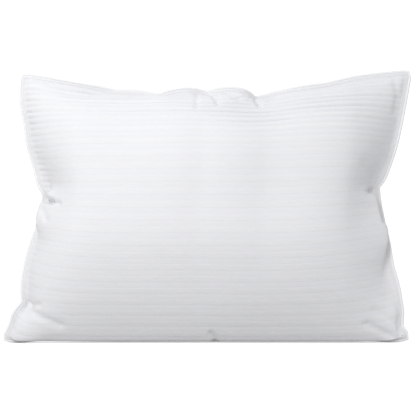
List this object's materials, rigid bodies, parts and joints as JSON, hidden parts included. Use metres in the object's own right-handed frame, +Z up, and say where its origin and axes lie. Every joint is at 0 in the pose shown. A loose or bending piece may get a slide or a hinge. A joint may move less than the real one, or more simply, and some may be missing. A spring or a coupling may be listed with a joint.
{
  "type": "bed pillow",
  "caption": "Standing bed pillow with a striped woven cotton casing, corded and double-stitched edge, soft fibre fill and a blank sewn-in label.",
  "frame": {"origin": "on the floor, under the middle of the pillow's box", "axes": "+X along the width, +Y through the thickness away from the front, +Z up"},
  "size_m": [0.7288, 0.19, 0.4864],
  "materials": {
    "striped_cotton": "white cotton with satin-woven stripes, soft sheen",
    "polyester_fibre": "loose white crimped fibre",
    "bias_tape": "plain white cotton cut on the bias",
    "cotton_cord": "soft twisted undyed cotton",
    "sewing_thread": "white spun polyester thread",
    "satin_label": "blank white woven satin ribbon"
  },
  "bodies": {
    "pillow": {"front_panel": "striped_cotton", "back_panel": "striped_cotton", "fiber_fill": "polyester_fibre", "piping_tape": "bias_tape", "piping_cord": "cotton_cord", "joining_thread": "sewing_thread", "front_topstitch": "sewing_thread", "back_topstitch": "sewing_thread", "closing_stitches": "sewing_thread"},
    "label": {"care_label": "satin_label"}
  },
  "joints": [
    {"name": "label_flap", "type": "hinge", "parent": "pillow", "child": "label", "pos_m": [-0.31814, 0.00275, 0.3933], "axis": [-0.1816, 0, 0.9834], "range_deg": [0, 110]}
  ]
}
